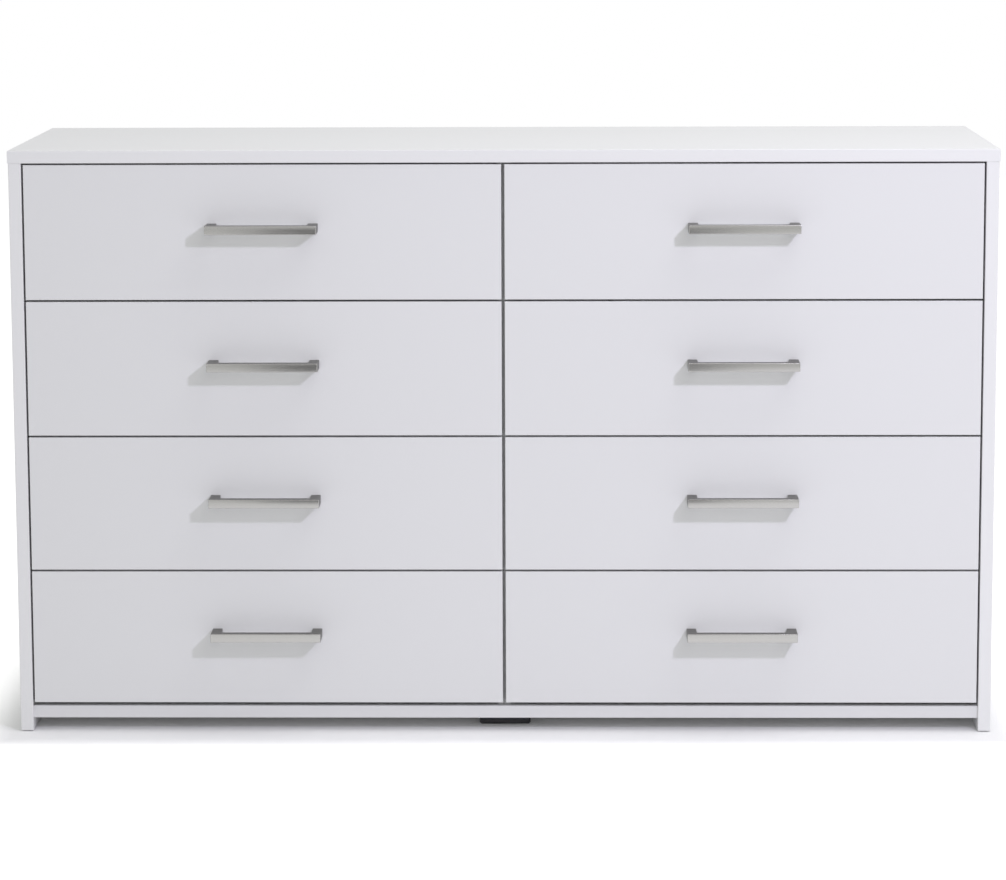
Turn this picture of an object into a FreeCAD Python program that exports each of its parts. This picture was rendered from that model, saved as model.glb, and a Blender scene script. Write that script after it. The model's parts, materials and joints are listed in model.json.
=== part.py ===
import FreeCAD, Part
import os
import Sketcher

# Chest of eight drawers: board carcass, two columns of four drawers on roller runners.
# Millimetres. X across, -Y to the front, Z up from the floor; the origin is on the floor,
# under the middle of the whole chest with its handles.

doc = FreeCAD.newDocument("Dresser")

# ---------------------------------------------------------------- driving sizes
sizes = {
    "width": 1250,  # across the top board
    "height": 750,  # floor to the top of the top board
    "depth": 400,  # front of the top board to the outside of the back sheets
    "board": 16,  # carcass boards and drawer fronts
    "top_overhang": 1,  # top board beyond the sides and the fronts
    "floor_clearance": 17,  # under the bottom board
    "bottom_setback": 5,  # bottom board behind the front edges of the sides
    "top_gap": 2.2,  # under the top board, above the highest fronts
    "row_gap": 2.5,  # between fronts in a column
    "bottom_gap": 5.3,  # lowest fronts above the bottom board
    "side_gap": 2.5,  # fronts to the sides
    "centre_gap": 4,  # between the two columns
    "edge_round": 1,  # rounded edge banding
    "divider_gap": 1.5,  # divider behind the drawer fronts
    "back_sheet": 3,
    "back_inset": 2,  # back sheets inside the outline of the chest
    "back_rise": 1,  # back sheets above the underside of the bottom board
    "back_nail_radius": 0.9,
    "back_nail_length": 18,
    "nail_head_radius": 2,
    "nail_head": 0.6,  # driven flush into the sheet
    "glide_radius": 6.25,
    "glide_thick": 1.6,
    "glide_inset": 30,
    "glide_pin": 10,
    "foot_width": 66,
    "foot_depth": 48,
    "foot_setback": 41,  # centre foot behind the front edges of the sides
    "foot_corner": 4,
    "foot_chamfer": 2,
    "handle_spacing": 128,  # between the two handle screws
    "handle_bar_wide": 12.4,
    "handle_bar_tall": 11,
    "handle_bar_deep": 12,
    "handle_reach": 35,  # how far the handle stands out of the front
    "handle_rise": 6,  # above the middle of the front
    "handle_round": 1,
    "handle_screw_radius": 2,
    "handle_screw_bite": 12,
    "hole_end": 1,  # threaded hole beyond the tip of the handle screw
    "screw_head_radius": 4,
    "screw_head": 2.2,
    "wall": 12,  # drawer box boards
    "box_rear_gap": 28,  # from the drawer box to the back sheets
    "box_rise": 17,  # box above the lower edge of its front
    "box_headroom": 29.5,  # box below the upper edge of its front
    "bottom_rise": 10,  # groove above the lower edge of the box
    "bottom_sheet": 3,
    "groove_deep": 6,
    "fit": 0.2,  # clearance of a board in its groove and of a fitting in its hole
    "runner_overlap": 90,  # length of the runners still engaged with the drawer open
    "runner_space": 12.5,  # from the carcass to the drawer box
    "runner_start": 2,  # runners behind the drawer fronts
    "steel": 1.2,
    "web_gap": 0.7,  # between the channel and the upright web of the drawer's rail
    "flange_side": 1,  # between the rail's flange and the web of the channel
    "flange_gap": 0.8,  # between the rail's flange and the top of the channel
    "box_drop": 3.5,  # lower edge of the box below the floor of the channel
    "foot_flange": 10,
    "roller_radius": 9.5,
    "roller_side": 1.8,  # between a roller and the web of the channel
    "roller_headroom": 0.7,  # above the rear roller in its channel
    "roller_inset": 12,  # roller axles from the ends of the runners
    "roller_bay": 26,  # channel cut open around the front roller
    "axle_radius": 2.5,
    "running": 0.3,  # clearance between parts that slide or roll
    "stop_long": 6,
    "stop_deep": 7,
    "runner_screw_radius": 1.7,
    "runner_screw_tips": 2,  # between screws driven into one board from both faces
    "runner_screw_head_radius": 3,
    "runner_screw_head": 1,
    "runner_screw_front": 14,  # first screw behind the roller bay
    "runner_screw_rear": 40,  # last screw from the rear end
    "cam_radius": 7.5,
    "cam_deep": 12.5,
    "cam_reach": 34,  # cam centre from the edge of its board
    "bolt_radius": 3,
    "bolt_bite": 11,
    "bolt_short": 2,  # tip of a bolt before the middle of its cam
    "small_cam_radius": 6,
    "small_cam_deep": 9.5,
    "small_cam_reach": 24,
    "cam_height": 70,  # cam above the lower edge of the box
    "box_screw_radius": 2,
    "box_screw_length": 38,
    "fixing_inset": 60,  # carcass fittings from the edges of their boards
    "divider_screw_radius": 3,
    "divider_screw_length": 50,
    "divider_head_radius": 5,
}

sheet = doc.addObject("Spreadsheet::Sheet", "Sizes")
for line, (word, amount) in enumerate(sizes.items(), 1):
    sheet.set(f"A{line}", word)
    sheet.set(f"B{line}", str(amount))
    sheet.setAlias(f"B{line}", word)
doc.recompute()


def cells(formula):
    """The formula with each word of the sheet written as a reference to its cell."""
    words = formula.replace("(", " ( ").replace(")", " ) ").split()
    return " ".join(f"Sizes.{word}" if word in sizes else word for word in words)


def number(formula):
    return float(sheet.evalExpression(cells(formula)))


# ---------------------------------------------------------------- sizes worked out from them
SLAB_FRONT = "( 0 - depth + handle_reach - top_overhang ) / 2"
FACE = f"( {SLAB_FRONT} + top_overhang )"  # plane of the fronts and of the sides' front edges
BEHIND_FRONTS = f"( {FACE} + board )"
BACK_FACE = f"( {SLAB_FRONT} + depth - back_sheet )"  # rear edges of the boards
SIDE_OUTER = "( width / 2 - top_overhang )"
SIDE_INNER = "( width / 2 - top_overhang - board )"
SLAB_UNDER = "( height - board )"
FLOOR_BOARD_TOP = "( floor_clearance + board )"
FRONT_WIDE = f"( {SIDE_INNER} - side_gap - centre_gap / 2 )"
FRONT_TALL = f"( ( {SLAB_UNDER} - top_gap - {FLOOR_BOARD_TOP} - bottom_gap - 3 * row_gap ) / 4 )"
BOX_WIDE = f"( {SIDE_INNER} - board / 2 - 2 * runner_space )"
BOX_INNER = f"( {BOX_WIDE} - 2 * wall )"
BOX_LONG = f"( {BACK_FACE} - {BEHIND_FRONTS} - box_rear_gap )"
BOX_TALL = f"( {FRONT_TALL} - box_rise - box_headroom )"
RUNNER_LONG = f"( {BOX_LONG} - runner_start )"
TRAVEL = f"( {RUNNER_LONG} - runner_overlap )"  # how far a drawer opens
CHANNEL_WIDE = "( runner_space - steel - web_gap )"
ROLLER_WIDE = f"( {CHANNEL_WIDE} - 2 * running - roller_side - steel )"
CHANNEL_TALL = "( 2 * roller_radius + running + roller_headroom )"
CHANNEL_TOP = f"( {CHANNEL_TALL} + steel )"
FLANGE_UNDER = f"( {CHANNEL_TOP} + flange_gap )"  # rail's flange over the channel
CHANNEL_RISE = "( box_rise + box_drop )"  # floor of the channel above a front's lower edge
RUNNER_SCREW_LONG = "( ( board - runner_screw_tips ) / 2 )"  # in the board
RUNNER_SCREWS = ["roller_bay + runner_screw_front", f"{RUNNER_LONG} / 2",
                 f"{RUNNER_LONG} - runner_screw_rear"]  # from the front end of the runner
BACK_SCREWS = [f"{BOX_TALL} / 3", f"{BOX_TALL} * 4 / 5"]  # above the lower edge of the box
OVERSHOOT = "1"  # end of a cutter past the face that it leaves
NEAR = 0.1  # edges this close to a plane lie on it
LEAST_CUT = 0.01  # cubic millimetres that any cut takes away
NAIL_ROWS = 5
NAIL_COLUMNS = 4

PLANE_SIDE = {"XY_Plane": 1, "XZ_Plane": -1, "YZ_Plane": 1}
TURN = {
    "X": FreeCAD.Rotation(FreeCAD.Vector(0, 1, 0), 90),
    "Y": FreeCAD.Rotation(FreeCAD.Vector(1, 0, 0), -90),
    "Z": FreeCAD.Rotation(),
}
nodes = []


# ---------------------------------------------------------------- ways of making a piece
def put(piece, across="0", along="0", up="0"):
    for axis, formula in zip("xyz", (across, along, up)):
        piece.setExpression(f"Placement.Base.{axis}", cells(formula))
    return piece


def node(piece, label, across="0", along="0", up="0"):
    """Names a finished sub-part and puts it in its place."""
    piece.Label = label
    nodes.append(piece)
    return put(piece, across, along, up)


def body(name):
    return doc.addObject("PartDesign::Body", name)


def sketch_on(owner, plane, level):
    sketch = owner.newObject("Sketcher::SketchObject", "Sketch")
    origin_plane = [item for item in owner.Origin.OriginFeatures if item.Role == plane][0]
    sketch.AttachmentSupport = [(origin_plane, "")]
    sketch.MapMode = "FlatFace"
    sketch.setExpression("AttachmentOffset.Base.z", cells(f"{PLANE_SIDE[plane]} * ( {level} )"))
    return sketch


def hold(sketch, kind, item, point, formula):
    rule = Sketcher.Constraint(kind, -1, 1, item, point, number(formula))
    sketch.setExpression(f"Constraints[{sketch.addConstraint(rule)}]", cells(formula))


def outline(sketch, corners):
    """Closed outline of straight edges, each corner held by its own two formulas."""
    places = [FreeCAD.Vector(number(across), number(up), 0) for across, up in corners]
    first = sketch.GeometryCount
    count = len(corners)
    for index in range(count):
        edge = Part.LineSegment(places[index], places[(index + 1) % count])
        sketch.addGeometry(edge, False)
    for index in range(count):
        following = first + (index + 1) % count
        sketch.addConstraint(Sketcher.Constraint("Coincident", first + index, 2, following, 1))
    for index, (across, up) in enumerate(corners):
        hold(sketch, "DistanceX", first + index, 1, across)
        hold(sketch, "DistanceY", first + index, 1, up)


def rectangle(sketch, left, right, low, high):
    outline(sketch, [(left, low), (right, low), (right, high), (left, high)])


def circle(sketch, across, up, radius):
    centre = FreeCAD.Vector(number(across), number(up), 0)
    round_edge = Part.Circle(centre, FreeCAD.Vector(0, 0, 1), number(radius))
    item = sketch.addGeometry(round_edge, False)
    hold(sketch, "DistanceX", item, 3, across)
    hold(sketch, "DistanceY", item, 3, up)
    rule = Sketcher.Constraint("Radius", item, number(radius))
    sketch.setExpression(f"Constraints[{sketch.addConstraint(rule)}]", cells(radius))


def pad(owner, sketch, plane, length, toward=1):
    """Raises the sketch by a length, towards the plus (1) or minus (-1) end of the axis."""
    feature = owner.newObject("PartDesign::Pad", "Pad")
    feature.Profile = sketch
    feature.setExpression("Length", cells(length))
    feature.Reversed = toward != PLANE_SIDE[plane]
    sketch.Visibility = False
    return feature


def cut(owner, sketch, plane, length, toward):
    """Cuts the sketch out to a depth and makes sure that it took material away."""
    doc.recompute()
    before = owner.Shape.Volume
    feature = owner.newObject("PartDesign::Pocket", "Pocket")
    feature.Profile = sketch
    feature.setExpression("Length", cells(length))
    feature.Reversed = toward == PLANE_SIDE[plane]
    doc.recompute()
    if owner.Shape.Volume > before - LEAST_CUT:
        raise RuntimeError(f"{owner.Name}: a pocket cut nothing")
    return feature


def round_edges(owner, radius, chosen):
    doc.recompute()
    last = owner.Tip
    names = [f"Edge{place}" for place, edge in enumerate(last.Shape.Edges, 1) if chosen(edge)]
    feature = owner.newObject("PartDesign::Fillet", "Fillet")
    feature.Base = (last, names)
    feature.setExpression("Radius", cells(radius))
    return feature


def board_flat(name, across, along, up):
    """Board lying flat, its lowest corner at its own origin."""
    owner = body(name)
    sketch = sketch_on(owner, "XY_Plane", "0")
    rectangle(sketch, "0", across, "0", along)
    pad(owner, sketch, "XY_Plane", up)
    return owner


def board_facing(name, across, along, up):
    """Board standing across the chest, its lowest corner at its own origin."""
    owner = body(name)
    sketch = sketch_on(owner, "XZ_Plane", "0")
    rectangle(sketch, "0", across, "0", up)
    pad(owner, sketch, "XZ_Plane", along)
    return owner


def board_upright(name, across, along, up):
    """Board standing front to back, its lowest corner at its own origin."""
    owner = body(name)
    sketch = sketch_on(owner, "YZ_Plane", "0")
    rectangle(sketch, "0", along, "0", up)
    pad(owner, sketch, "YZ_Plane", across)
    return owner


def drill(owner, plane, level, centres, radius, depth, toward):
    """Round holes of one depth, drilled from a level along the axis."""
    sketch = sketch_on(owner, plane, level)
    for across, up in centres:
        circle(sketch, across, up, radius)
    cut(owner, sketch, plane, depth, toward)


def rod(radius, length, axis, across, along, up):
    """Plain round rod that starts at a point and runs towards the plus end of an axis."""
    piece = doc.addObject("Part::Cylinder", "Rod")
    piece.setExpression("Radius", cells(radius))
    piece.setExpression("Height", cells(length))
    piece.Placement = FreeCAD.Placement(FreeCAD.Vector(), TURN[axis])
    return put(piece, across, along, up)


def fused(first, second):
    piece = doc.addObject("Part::Fuse", "Fused")
    piece.Base = first
    piece.Tool = second
    return piece


def less(first, second):
    piece = doc.addObject("Part::Cut", "Less")
    piece.Base = first
    piece.Tool = second
    return piece


def group(pieces):
    piece = doc.addObject("Part::Compound", "Group")
    piece.Links = pieces
    return piece


def whole(piece):
    """A fixing that is its own solid: one rod, or rods joined end to end."""
    piece.Refine = True
    return piece


# ---------------------------------------------------------------- where the carcass fittings go
BOARD_DEEP = f"( {BACK_FACE} - {FACE} )"
FITTING_PLACES = ["fixing_inset", f"{BOARD_DEEP} - fixing_inset"]  # from the front edge
UPRIGHT_TALL = f"( {SLAB_UNDER} - glide_thick )"
DIVIDER_FRONT = f"( {BEHIND_FRONTS} + divider_gap )"
DIVIDER_SHIFT = "( board + divider_gap )"  # divider's front edge behind the sides' front edges
DIVIDER_TALL = f"( {SLAB_UNDER} - {FLOOR_BOARD_TOP} )"


def top_board():
    owner = board_flat("TopBoard", "width", "depth - back_sheet", "board")
    rear = number("depth - back_sheet")
    round_edges(owner, "edge_round", lambda edge: edge.BoundBox.YMin < rear - NEAR
                and edge.BoundBox.ZLength < NEAR)
    centres = []
    for middle in ("top_overhang + board / 2", "width / 2", "width - top_overhang - board / 2"):
        for place in FITTING_PLACES:
            centres.append((middle, f"{place} + top_overhang"))
    drill(owner, "XY_Plane", "0", centres, "bolt_radius + fit", "bolt_bite + fit", 1)
    node(owner, "top_panel", "0 - width / 2", SLAB_FRONT, SLAB_UNDER)


def side_board(name, label, left):
    """Side board, drilled for the cams of the top and the bolts of the bottom board."""
    owner = board_upright(name, "board", BOARD_DEEP, UPRIGHT_TALL)
    round_edges(owner, "edge_round", lambda edge: edge.BoundBox.YMax < NEAR
                and edge.BoundBox.XLength < NEAR)
    inner, toward = ("board", -1) if left else ("0", 1)
    cam_up = f"{UPRIGHT_TALL} - cam_reach"
    drill(owner, "YZ_Plane", inner, [(place, cam_up) for place in FITTING_PLACES],
          "cam_radius + fit", "cam_deep + fit", toward)
    drill(owner, "XY_Plane", UPRIGHT_TALL, [("board / 2", place) for place in FITTING_PLACES],
          "bolt_radius + fit", "cam_reach", -1)
    bolt_up = "floor_clearance + board / 2 - glide_thick"
    drill(owner, "YZ_Plane", inner, [(place, bolt_up) for place in FITTING_PLACES],
          "bolt_radius + fit", "bolt_bite + fit", toward)
    across = f"0 - {SIDE_OUTER}" if left else SIDE_INNER
    node(owner, label, across, FACE, "glide_thick")


def divider_board():
    owner = board_upright("Divider", "board", f"{BOARD_DEEP} - {DIVIDER_SHIFT}", DIVIDER_TALL)
    places = [f"{place} - {DIVIDER_SHIFT}" for place in FITTING_PLACES]
    drill(owner, "YZ_Plane", "board", [(place, f"{DIVIDER_TALL} - cam_reach") for place in places],
          "cam_radius + fit", "cam_deep + fit", -1)
    drill(owner, "XY_Plane", DIVIDER_TALL, [("board / 2", place) for place in places],
          "bolt_radius + fit", "cam_reach", -1)
    drill(owner, "XY_Plane", "0", [("board / 2", place) for place in places],
          "divider_screw_radius + fit", "divider_screw_length - board + fit", 1)
    node(owner, "centre_divider", "0 - board / 2", DIVIDER_FRONT, FLOOR_BOARD_TOP)


def bottom_board():
    """Bottom board, with cams let into its underside beside both ends."""
    long_way = f"2 * {SIDE_INNER}"
    deep = f"( {BOARD_DEEP} - bottom_setback )"
    owner = board_flat("BottomBoard", long_way, deep, "board")
    round_edges(owner, "edge_round", lambda edge: edge.BoundBox.YMax < NEAR
                and edge.BoundBox.ZLength < NEAR)
    places = [f"{place} - bottom_setback" for place in FITTING_PLACES]
    cams = [(across, place) for across in ("cam_reach", f"{long_way} - cam_reach")
            for place in places]
    drill(owner, "XY_Plane", "0", cams, "cam_radius + fit", "cam_deep + fit", 1)
    ends = [(place, "board / 2") for place in places]
    drill(owner, "YZ_Plane", "0", ends, "bolt_radius + fit", "cam_reach", 1)
    drill(owner, "YZ_Plane", long_way, ends, "bolt_radius + fit", "cam_reach", -1)
    screws = [(SIDE_INNER, place) for place in places]
    drill(owner, "XY_Plane", "0", screws, "divider_screw_radius + fit", "board", 1)
    drill(owner, "XY_Plane", "0", screws, "divider_head_radius + fit", "screw_head + fit", 1)
    node(owner, "bottom_panel", f"0 - {SIDE_INNER}", f"{FACE} + bottom_setback", "floor_clearance")


BACK_LOW = "( floor_clearance + back_rise )"
BACK_WIDE = f"( {SIDE_OUTER} - back_inset )"
BACK_TALL = f"( height - back_inset - {BACK_LOW} )"


def back_sheets():
    pieces = []
    for across in (f"0 - {BACK_WIDE}", "0"):
        sheet_piece = board_facing("BackSheet", f"{BACK_WIDE} - fit / 2", "back_sheet", BACK_TALL)
        pieces.append(put(sheet_piece, across, BACK_FACE, BACK_LOW))
    node(group(pieces), "back_panels")


def back_nails():
    """Nails around each back sheet, into the edges of the boards behind it."""
    outer = f"( {SIDE_OUTER} - board / 2 )"
    inner = "( board / 4 )"
    low = "( floor_clearance + board / 2 )"
    high = f"( {SLAB_UNDER} + board / 2 )"
    places = []
    for row in range(NAIL_ROWS):
        up = f"{low} + ( {high} - {low} ) * {row} / {NAIL_ROWS - 1}"
        places += [(outer, up), (inner, up)]
    for column in range(1, NAIL_COLUMNS):
        across = f"{inner} + ( {outer} - {inner} ) * {column} / {NAIL_COLUMNS}"
        places += [(across, low), (across, high)]
    pieces = []
    for hand in ("", "0 - "):
        for across, up in places:
            shank = rod("back_nail_radius", "back_nail_length", "Y",
                        f"{hand}( {across} )", f"{BACK_FACE} + back_sheet - back_nail_length", up)
            head = rod("nail_head_radius", "nail_head", "Y",
                       f"{hand}( {across} )", f"{BACK_FACE} + back_sheet - nail_head", up)
            pieces.append(whole(fused(shank, head)))
    node(group(pieces), "back_nails")


def carcass_fixings():
    """Cams with their bolts, and the two screws that hold the divider to the bottom board."""
    pieces = []
    cam_up = f"{SLAB_UNDER} - cam_reach"
    bolt_long = "cam_reach + bolt_bite - bolt_short"
    slot_long = f"cam_radius + {OVERSHOOT}"
    uprights = [(f"0 - {SIDE_INNER} - cam_deep", f"0 - {SIDE_INNER} - board / 2"),
                ("board / 2 - cam_deep", "0"),
                (SIDE_INNER, f"{SIDE_INNER} + board / 2")]
    for place in FITTING_PLACES:
        along = f"{FACE} + {place}"
        for cam_across, bolt_across in uprights:
            disc = rod("cam_radius", "cam_deep", "X", cam_across, along, cam_up)
            pieces.append(whole(less(disc, rod("bolt_radius + fit", slot_long, "Z",
                                               bolt_across, along, cam_up))))
            pieces.append(rod("bolt_radius", bolt_long, "Z",
                              bolt_across, along, f"{cam_up} + bolt_short"))
        for hand, start in ((1, f"{SIDE_INNER} - cam_reach"), (-1, f"cam_reach - {SIDE_INNER}")):
            up = "floor_clearance + board / 2"
            disc = rod("cam_radius", "cam_deep", "Z", start, along, "floor_clearance")
            slot = start if hand == 1 else f"{start} - ( {slot_long} )"
            pieces.append(whole(less(disc, rod("bolt_radius + fit", slot_long, "X",
                                               slot, along, up))))
            bolt = (f"{start} + bolt_short" if hand == 1
                    else f"{start} - bolt_short - ( {bolt_long} )")
            pieces.append(rod("bolt_radius", bolt_long, "X", bolt, along, up))
        shank = rod("divider_screw_radius", "divider_screw_length", "Z", "0", along,
                    "floor_clearance")
        head = rod("divider_head_radius", "screw_head", "Z", "0", along, "floor_clearance")
        pieces.append(whole(fused(shank, head)))
    node(group(pieces), "carcass_fixings")


def floor_glides():
    """Nail-on glides under the front and rear of both sides."""
    pieces = []
    for across in (f"0 - {SIDE_OUTER} + board / 2", f"{SIDE_OUTER} - board / 2"):
        for along in (f"{FACE} + glide_inset", f"{BACK_FACE} - glide_inset"):
            disc = rod("glide_radius", "glide_thick", "Z", across, along, "0")
            nail = rod("back_nail_radius", "glide_pin", "Z", across, along, "glide_thick / 2")
            pieces.append(whole(fused(disc, nail)))
    node(group(pieces), "floor_glides")


def centre_foot():
    owner = board_flat("CentreFoot", "foot_width", "foot_depth", "floor_clearance")
    round_edges(owner, "foot_corner", lambda edge: edge.BoundBox.ZLength > NEAR)
    doc.recompute()
    last = owner.Tip
    chamfer = owner.newObject("PartDesign::Chamfer", "Chamfer")
    lower = [f"Edge{place}" for place, edge in enumerate(last.Shape.Edges, 1)
             if edge.BoundBox.ZMax < NEAR]
    chamfer.Base = (last, lower)
    chamfer.setExpression("Size", cells("foot_chamfer"))
    node(owner, "centre_foot", "0 - foot_width / 2", f"{FACE} + foot_setback", "0")


# ---------------------------------------------------------------- runners, from the carcass face
def section(hand, corners):
    """The corners of a runner's section, turned to the side that the hand points to."""
    return [(f"{hand} * ( {across} )", up) for across, up in corners]


def profile(name, hand, corners):
    owner = body(name)
    sketch = sketch_on(owner, "XZ_Plane", "0")
    outline(sketch, section(hand, corners))
    pad(owner, sketch, "XZ_Plane", RUNNER_LONG)
    return owner


def axle(owner, level, along, up, length, toward):
    sketch = sketch_on(owner, "YZ_Plane", level)
    circle(sketch, along, up, "axle_radius")
    pad(owner, sketch, "YZ_Plane", length, toward)


def roller(hand, face, along, up):
    """Ring that turns on an axle, standing off the carcass face."""
    start = "( steel + roller_side )"
    across = f"{face} + {start}" if hand == 1 else f"{face} - {start} - {ROLLER_WIDE}"
    tyre = rod("roller_radius", ROLLER_WIDE, "X", across, along, up)
    return whole(less(tyre, rod("axle_radius + fit / 2", ROLLER_WIDE, "X", across, along, up)))


FRONT_AXLE_UP = f"( {FLANGE_UNDER} - running - roller_radius )"
REAR_AXLE_UP = "( running + roller_radius )"
REAR_AXLE_ALONG = f"( {RUNNER_LONG} - roller_inset )"
STOP_ALONG = f"( {REAR_AXLE_ALONG} - {TRAVEL} - roller_radius - running )"


def cabinet_runner(hand):
    """C-shaped channel on the carcass, its top open around the front roller."""
    owner = profile("CabinetRunner", hand, [
        ("0", "0 - steel"), (CHANNEL_WIDE, "0 - steel"), (CHANNEL_WIDE, "0"), ("steel", "0"),
        ("steel", CHANNEL_TALL), (CHANNEL_WIDE, CHANNEL_TALL),
        (CHANNEL_WIDE, CHANNEL_TOP), ("0", CHANNEL_TOP)])
    bay = sketch_on(owner, "XZ_Plane", "0")
    side, low = f"{CHANNEL_WIDE} + {OVERSHOOT}", f"{CHANNEL_TALL} - {OVERSHOOT}"
    high = f"{CHANNEL_TOP} + {OVERSHOOT}"
    outline(bay, section(hand, [("steel", low), (side, low), (side, high), ("steel", high)]))
    cut(owner, bay, "XZ_Plane", "roller_bay", 1)
    axle(owner, f"{hand} * steel / 2", "roller_inset", FRONT_AXLE_UP,
         f"{CHANNEL_WIDE} - steel / 2", hand)
    stop = sketch_on(owner, "XZ_Plane", STOP_ALONG)
    low, high = f"{CHANNEL_TALL} - stop_deep", f"{CHANNEL_TALL} + steel / 2"
    outline(stop, section(hand, [("steel / 2", low), (CHANNEL_WIDE, low),
                                 (CHANNEL_WIDE, high), ("steel / 2", high)]))
    pad(owner, stop, "XZ_Plane", "stop_long", -1)
    drill(owner, "YZ_Plane", "0", [(place, f"{CHANNEL_TALL} / 2") for place in RUNNER_SCREWS],
          "runner_screw_radius + fit", "steel", hand)
    return owner


def drawer_runner(hand):
    """Z-shaped rail under and beside the drawer box, with the rear axle."""
    owner = profile("DrawerRunner", hand, [
        ("runner_space - steel", "0 - box_drop - steel"),
        ("runner_space + foot_flange", "0 - box_drop - steel"),
        ("runner_space + foot_flange", "0 - box_drop"),
        ("runner_space", "0 - box_drop"),
        ("runner_space", f"{FLANGE_UNDER} + steel"),
        ("steel + flange_side", f"{FLANGE_UNDER} + steel"),
        ("steel + flange_side", FLANGE_UNDER),
        ("runner_space - steel", FLANGE_UNDER)])
    axle(owner, f"{hand} * ( runner_space - steel / 2 )", REAR_AXLE_ALONG, REAR_AXLE_UP,
         "runner_space - steel / 2 - steel - flange_side", -hand)
    return owner


CARCASS_FACES = [(f"( 0 - {SIDE_INNER} )", 1), ("( 0 - board / 2 )", -1),
                 ("( board / 2 )", 1), (SIDE_INNER, -1)]
RUNNER_FRONT = f"( {BEHIND_FRONTS} + runner_start )"
ROW_NAMES = ["1", "2", "3", "4"]  # from the top down


def row_low(row):
    """Lower edge of the fronts in a row, above the floor."""
    return f"( {FLOOR_BOARD_TOP} + bottom_gap + {3 - row} * ( {FRONT_TALL} + row_gap ) )"


def cabinet_runners():
    pieces = []
    screws = []
    for row in range(len(ROW_NAMES)):
        channel = f"( {row_low(row)} + {CHANNEL_RISE} )"
        for face, hand in CARCASS_FACES:
            pieces.append(put(cabinet_runner(hand), face, RUNNER_FRONT, channel))
            pieces.append(roller(hand, face, f"{RUNNER_FRONT} + roller_inset",
                                 f"{channel} + {FRONT_AXLE_UP}"))
            for place in RUNNER_SCREWS:
                along = f"{RUNNER_FRONT} + {place}"
                up = f"{channel} + {CHANNEL_TALL} / 2"
                tip = f"{face} - {RUNNER_SCREW_LONG}" if hand == 1 else f"{face} - steel"
                top = f"{face} + steel" if hand == 1 else f"{face} - steel - runner_screw_head"
                shank = rod("runner_screw_radius", f"{RUNNER_SCREW_LONG} + steel", "X",
                            tip, along, up)
                head = rod("runner_screw_head_radius", "runner_screw_head", "X", top, along, up)
                screws.append(whole(fused(shank, head)))
    node(group(pieces), "cabinet_runners")
    node(group(screws), "runner_screws")


# ---------------------------------------------------------------- drawers
# Each drawer is made from the lower left corner of its front's outer face.
CAM_UP = "( box_rise + cam_height )"
BOTTOM_LOW = "( box_rise + bottom_rise + fit / 2 )"
HANDLE_UP = f"( {FRONT_TALL} / 2 + handle_rise )"
SCREW_ACROSS = [f"{FRONT_WIDE} / 2 - handle_spacing / 2", f"{FRONT_WIDE} / 2 + handle_spacing / 2"]


def drawer_front(name, label, lead, place):
    """Front board with banded edges, grooved for the bottom and drilled for its fixings."""
    owner = board_facing(name, FRONT_WIDE, "board", FRONT_TALL)
    round_edges(owner, "edge_round", lambda edge: edge.BoundBox.YMax < NEAR)
    drill(owner, "XZ_Plane", "0", [(across, HANDLE_UP) for across in SCREW_ACROSS],
          "handle_screw_radius + fit", "board", 1)
    bolts = [(f"{lead} + wall / 2", CAM_UP), (f"{lead} + {BOX_WIDE} - wall / 2", CAM_UP)]
    drill(owner, "XZ_Plane", "board", bolts, "bolt_radius + fit", "bolt_bite + fit", -1)
    groove = sketch_on(owner, "XZ_Plane", "board")
    rectangle(groove, f"{lead} + wall - groove_deep", f"{lead} + {BOX_WIDE} - wall + groove_deep",
              f"{BOTTOM_LOW} - fit / 2", f"{BOTTOM_LOW} + bottom_sheet + fit / 2")
    cut(owner, groove, "XZ_Plane", "groove_deep", -1)
    node(owner, label, *place)


def box_side(lead, left):
    """Drawer side: groove for the bottom, a cam at the front, two screws at the back."""
    owner = board_upright("BoxSide", "wall", BOX_LONG, BOX_TALL)
    inner, toward = ("wall", -1) if left else ("0", 1)
    groove = sketch_on(owner, "YZ_Plane", inner)
    rectangle(groove, f"0 - {OVERSHOOT}", f"{BOX_LONG} + {OVERSHOOT}",
              "bottom_rise", "bottom_rise + bottom_sheet + fit")
    cut(owner, groove, "YZ_Plane", "groove_deep", toward)
    drill(owner, "YZ_Plane", inner, [("small_cam_reach", "cam_height")],
          "small_cam_radius + fit", "small_cam_deep + fit", toward)
    drill(owner, "XZ_Plane", "0", [("wall / 2", "cam_height")],
          "bolt_radius + fit", "small_cam_reach - small_cam_radius / 2", 1)
    outer = "0" if left else "wall"
    screws = [(f"{BOX_LONG} - wall / 2", up) for up in BACK_SCREWS]
    drill(owner, "YZ_Plane", outer, screws, "box_screw_radius + fit", "wall", -toward)
    drill(owner, "YZ_Plane", outer, screws, "screw_head_radius + fit", "screw_head + fit", -toward)
    across = lead if left else f"{lead} + {BOX_WIDE} - wall"
    return put(owner, across, "board", "box_rise")


BACK_LOW_EDGE = "( bottom_rise + bottom_sheet + fit )"


def box_back(lead):
    owner = board_facing("BoxBack", BOX_INNER, "wall", f"{BOX_TALL} - {BACK_LOW_EDGE}")
    ends = [("wall / 2", f"{up} - {BACK_LOW_EDGE}") for up in BACK_SCREWS]
    depth = "box_screw_length - wall + fit"
    drill(owner, "YZ_Plane", "0", ends, "box_screw_radius + fit", depth, 1)
    drill(owner, "YZ_Plane", BOX_INNER, ends, "box_screw_radius + fit", depth, -1)
    return put(owner, f"{lead} + wall", f"board + {BOX_LONG} - wall",
               f"box_rise + {BACK_LOW_EDGE}")


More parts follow.
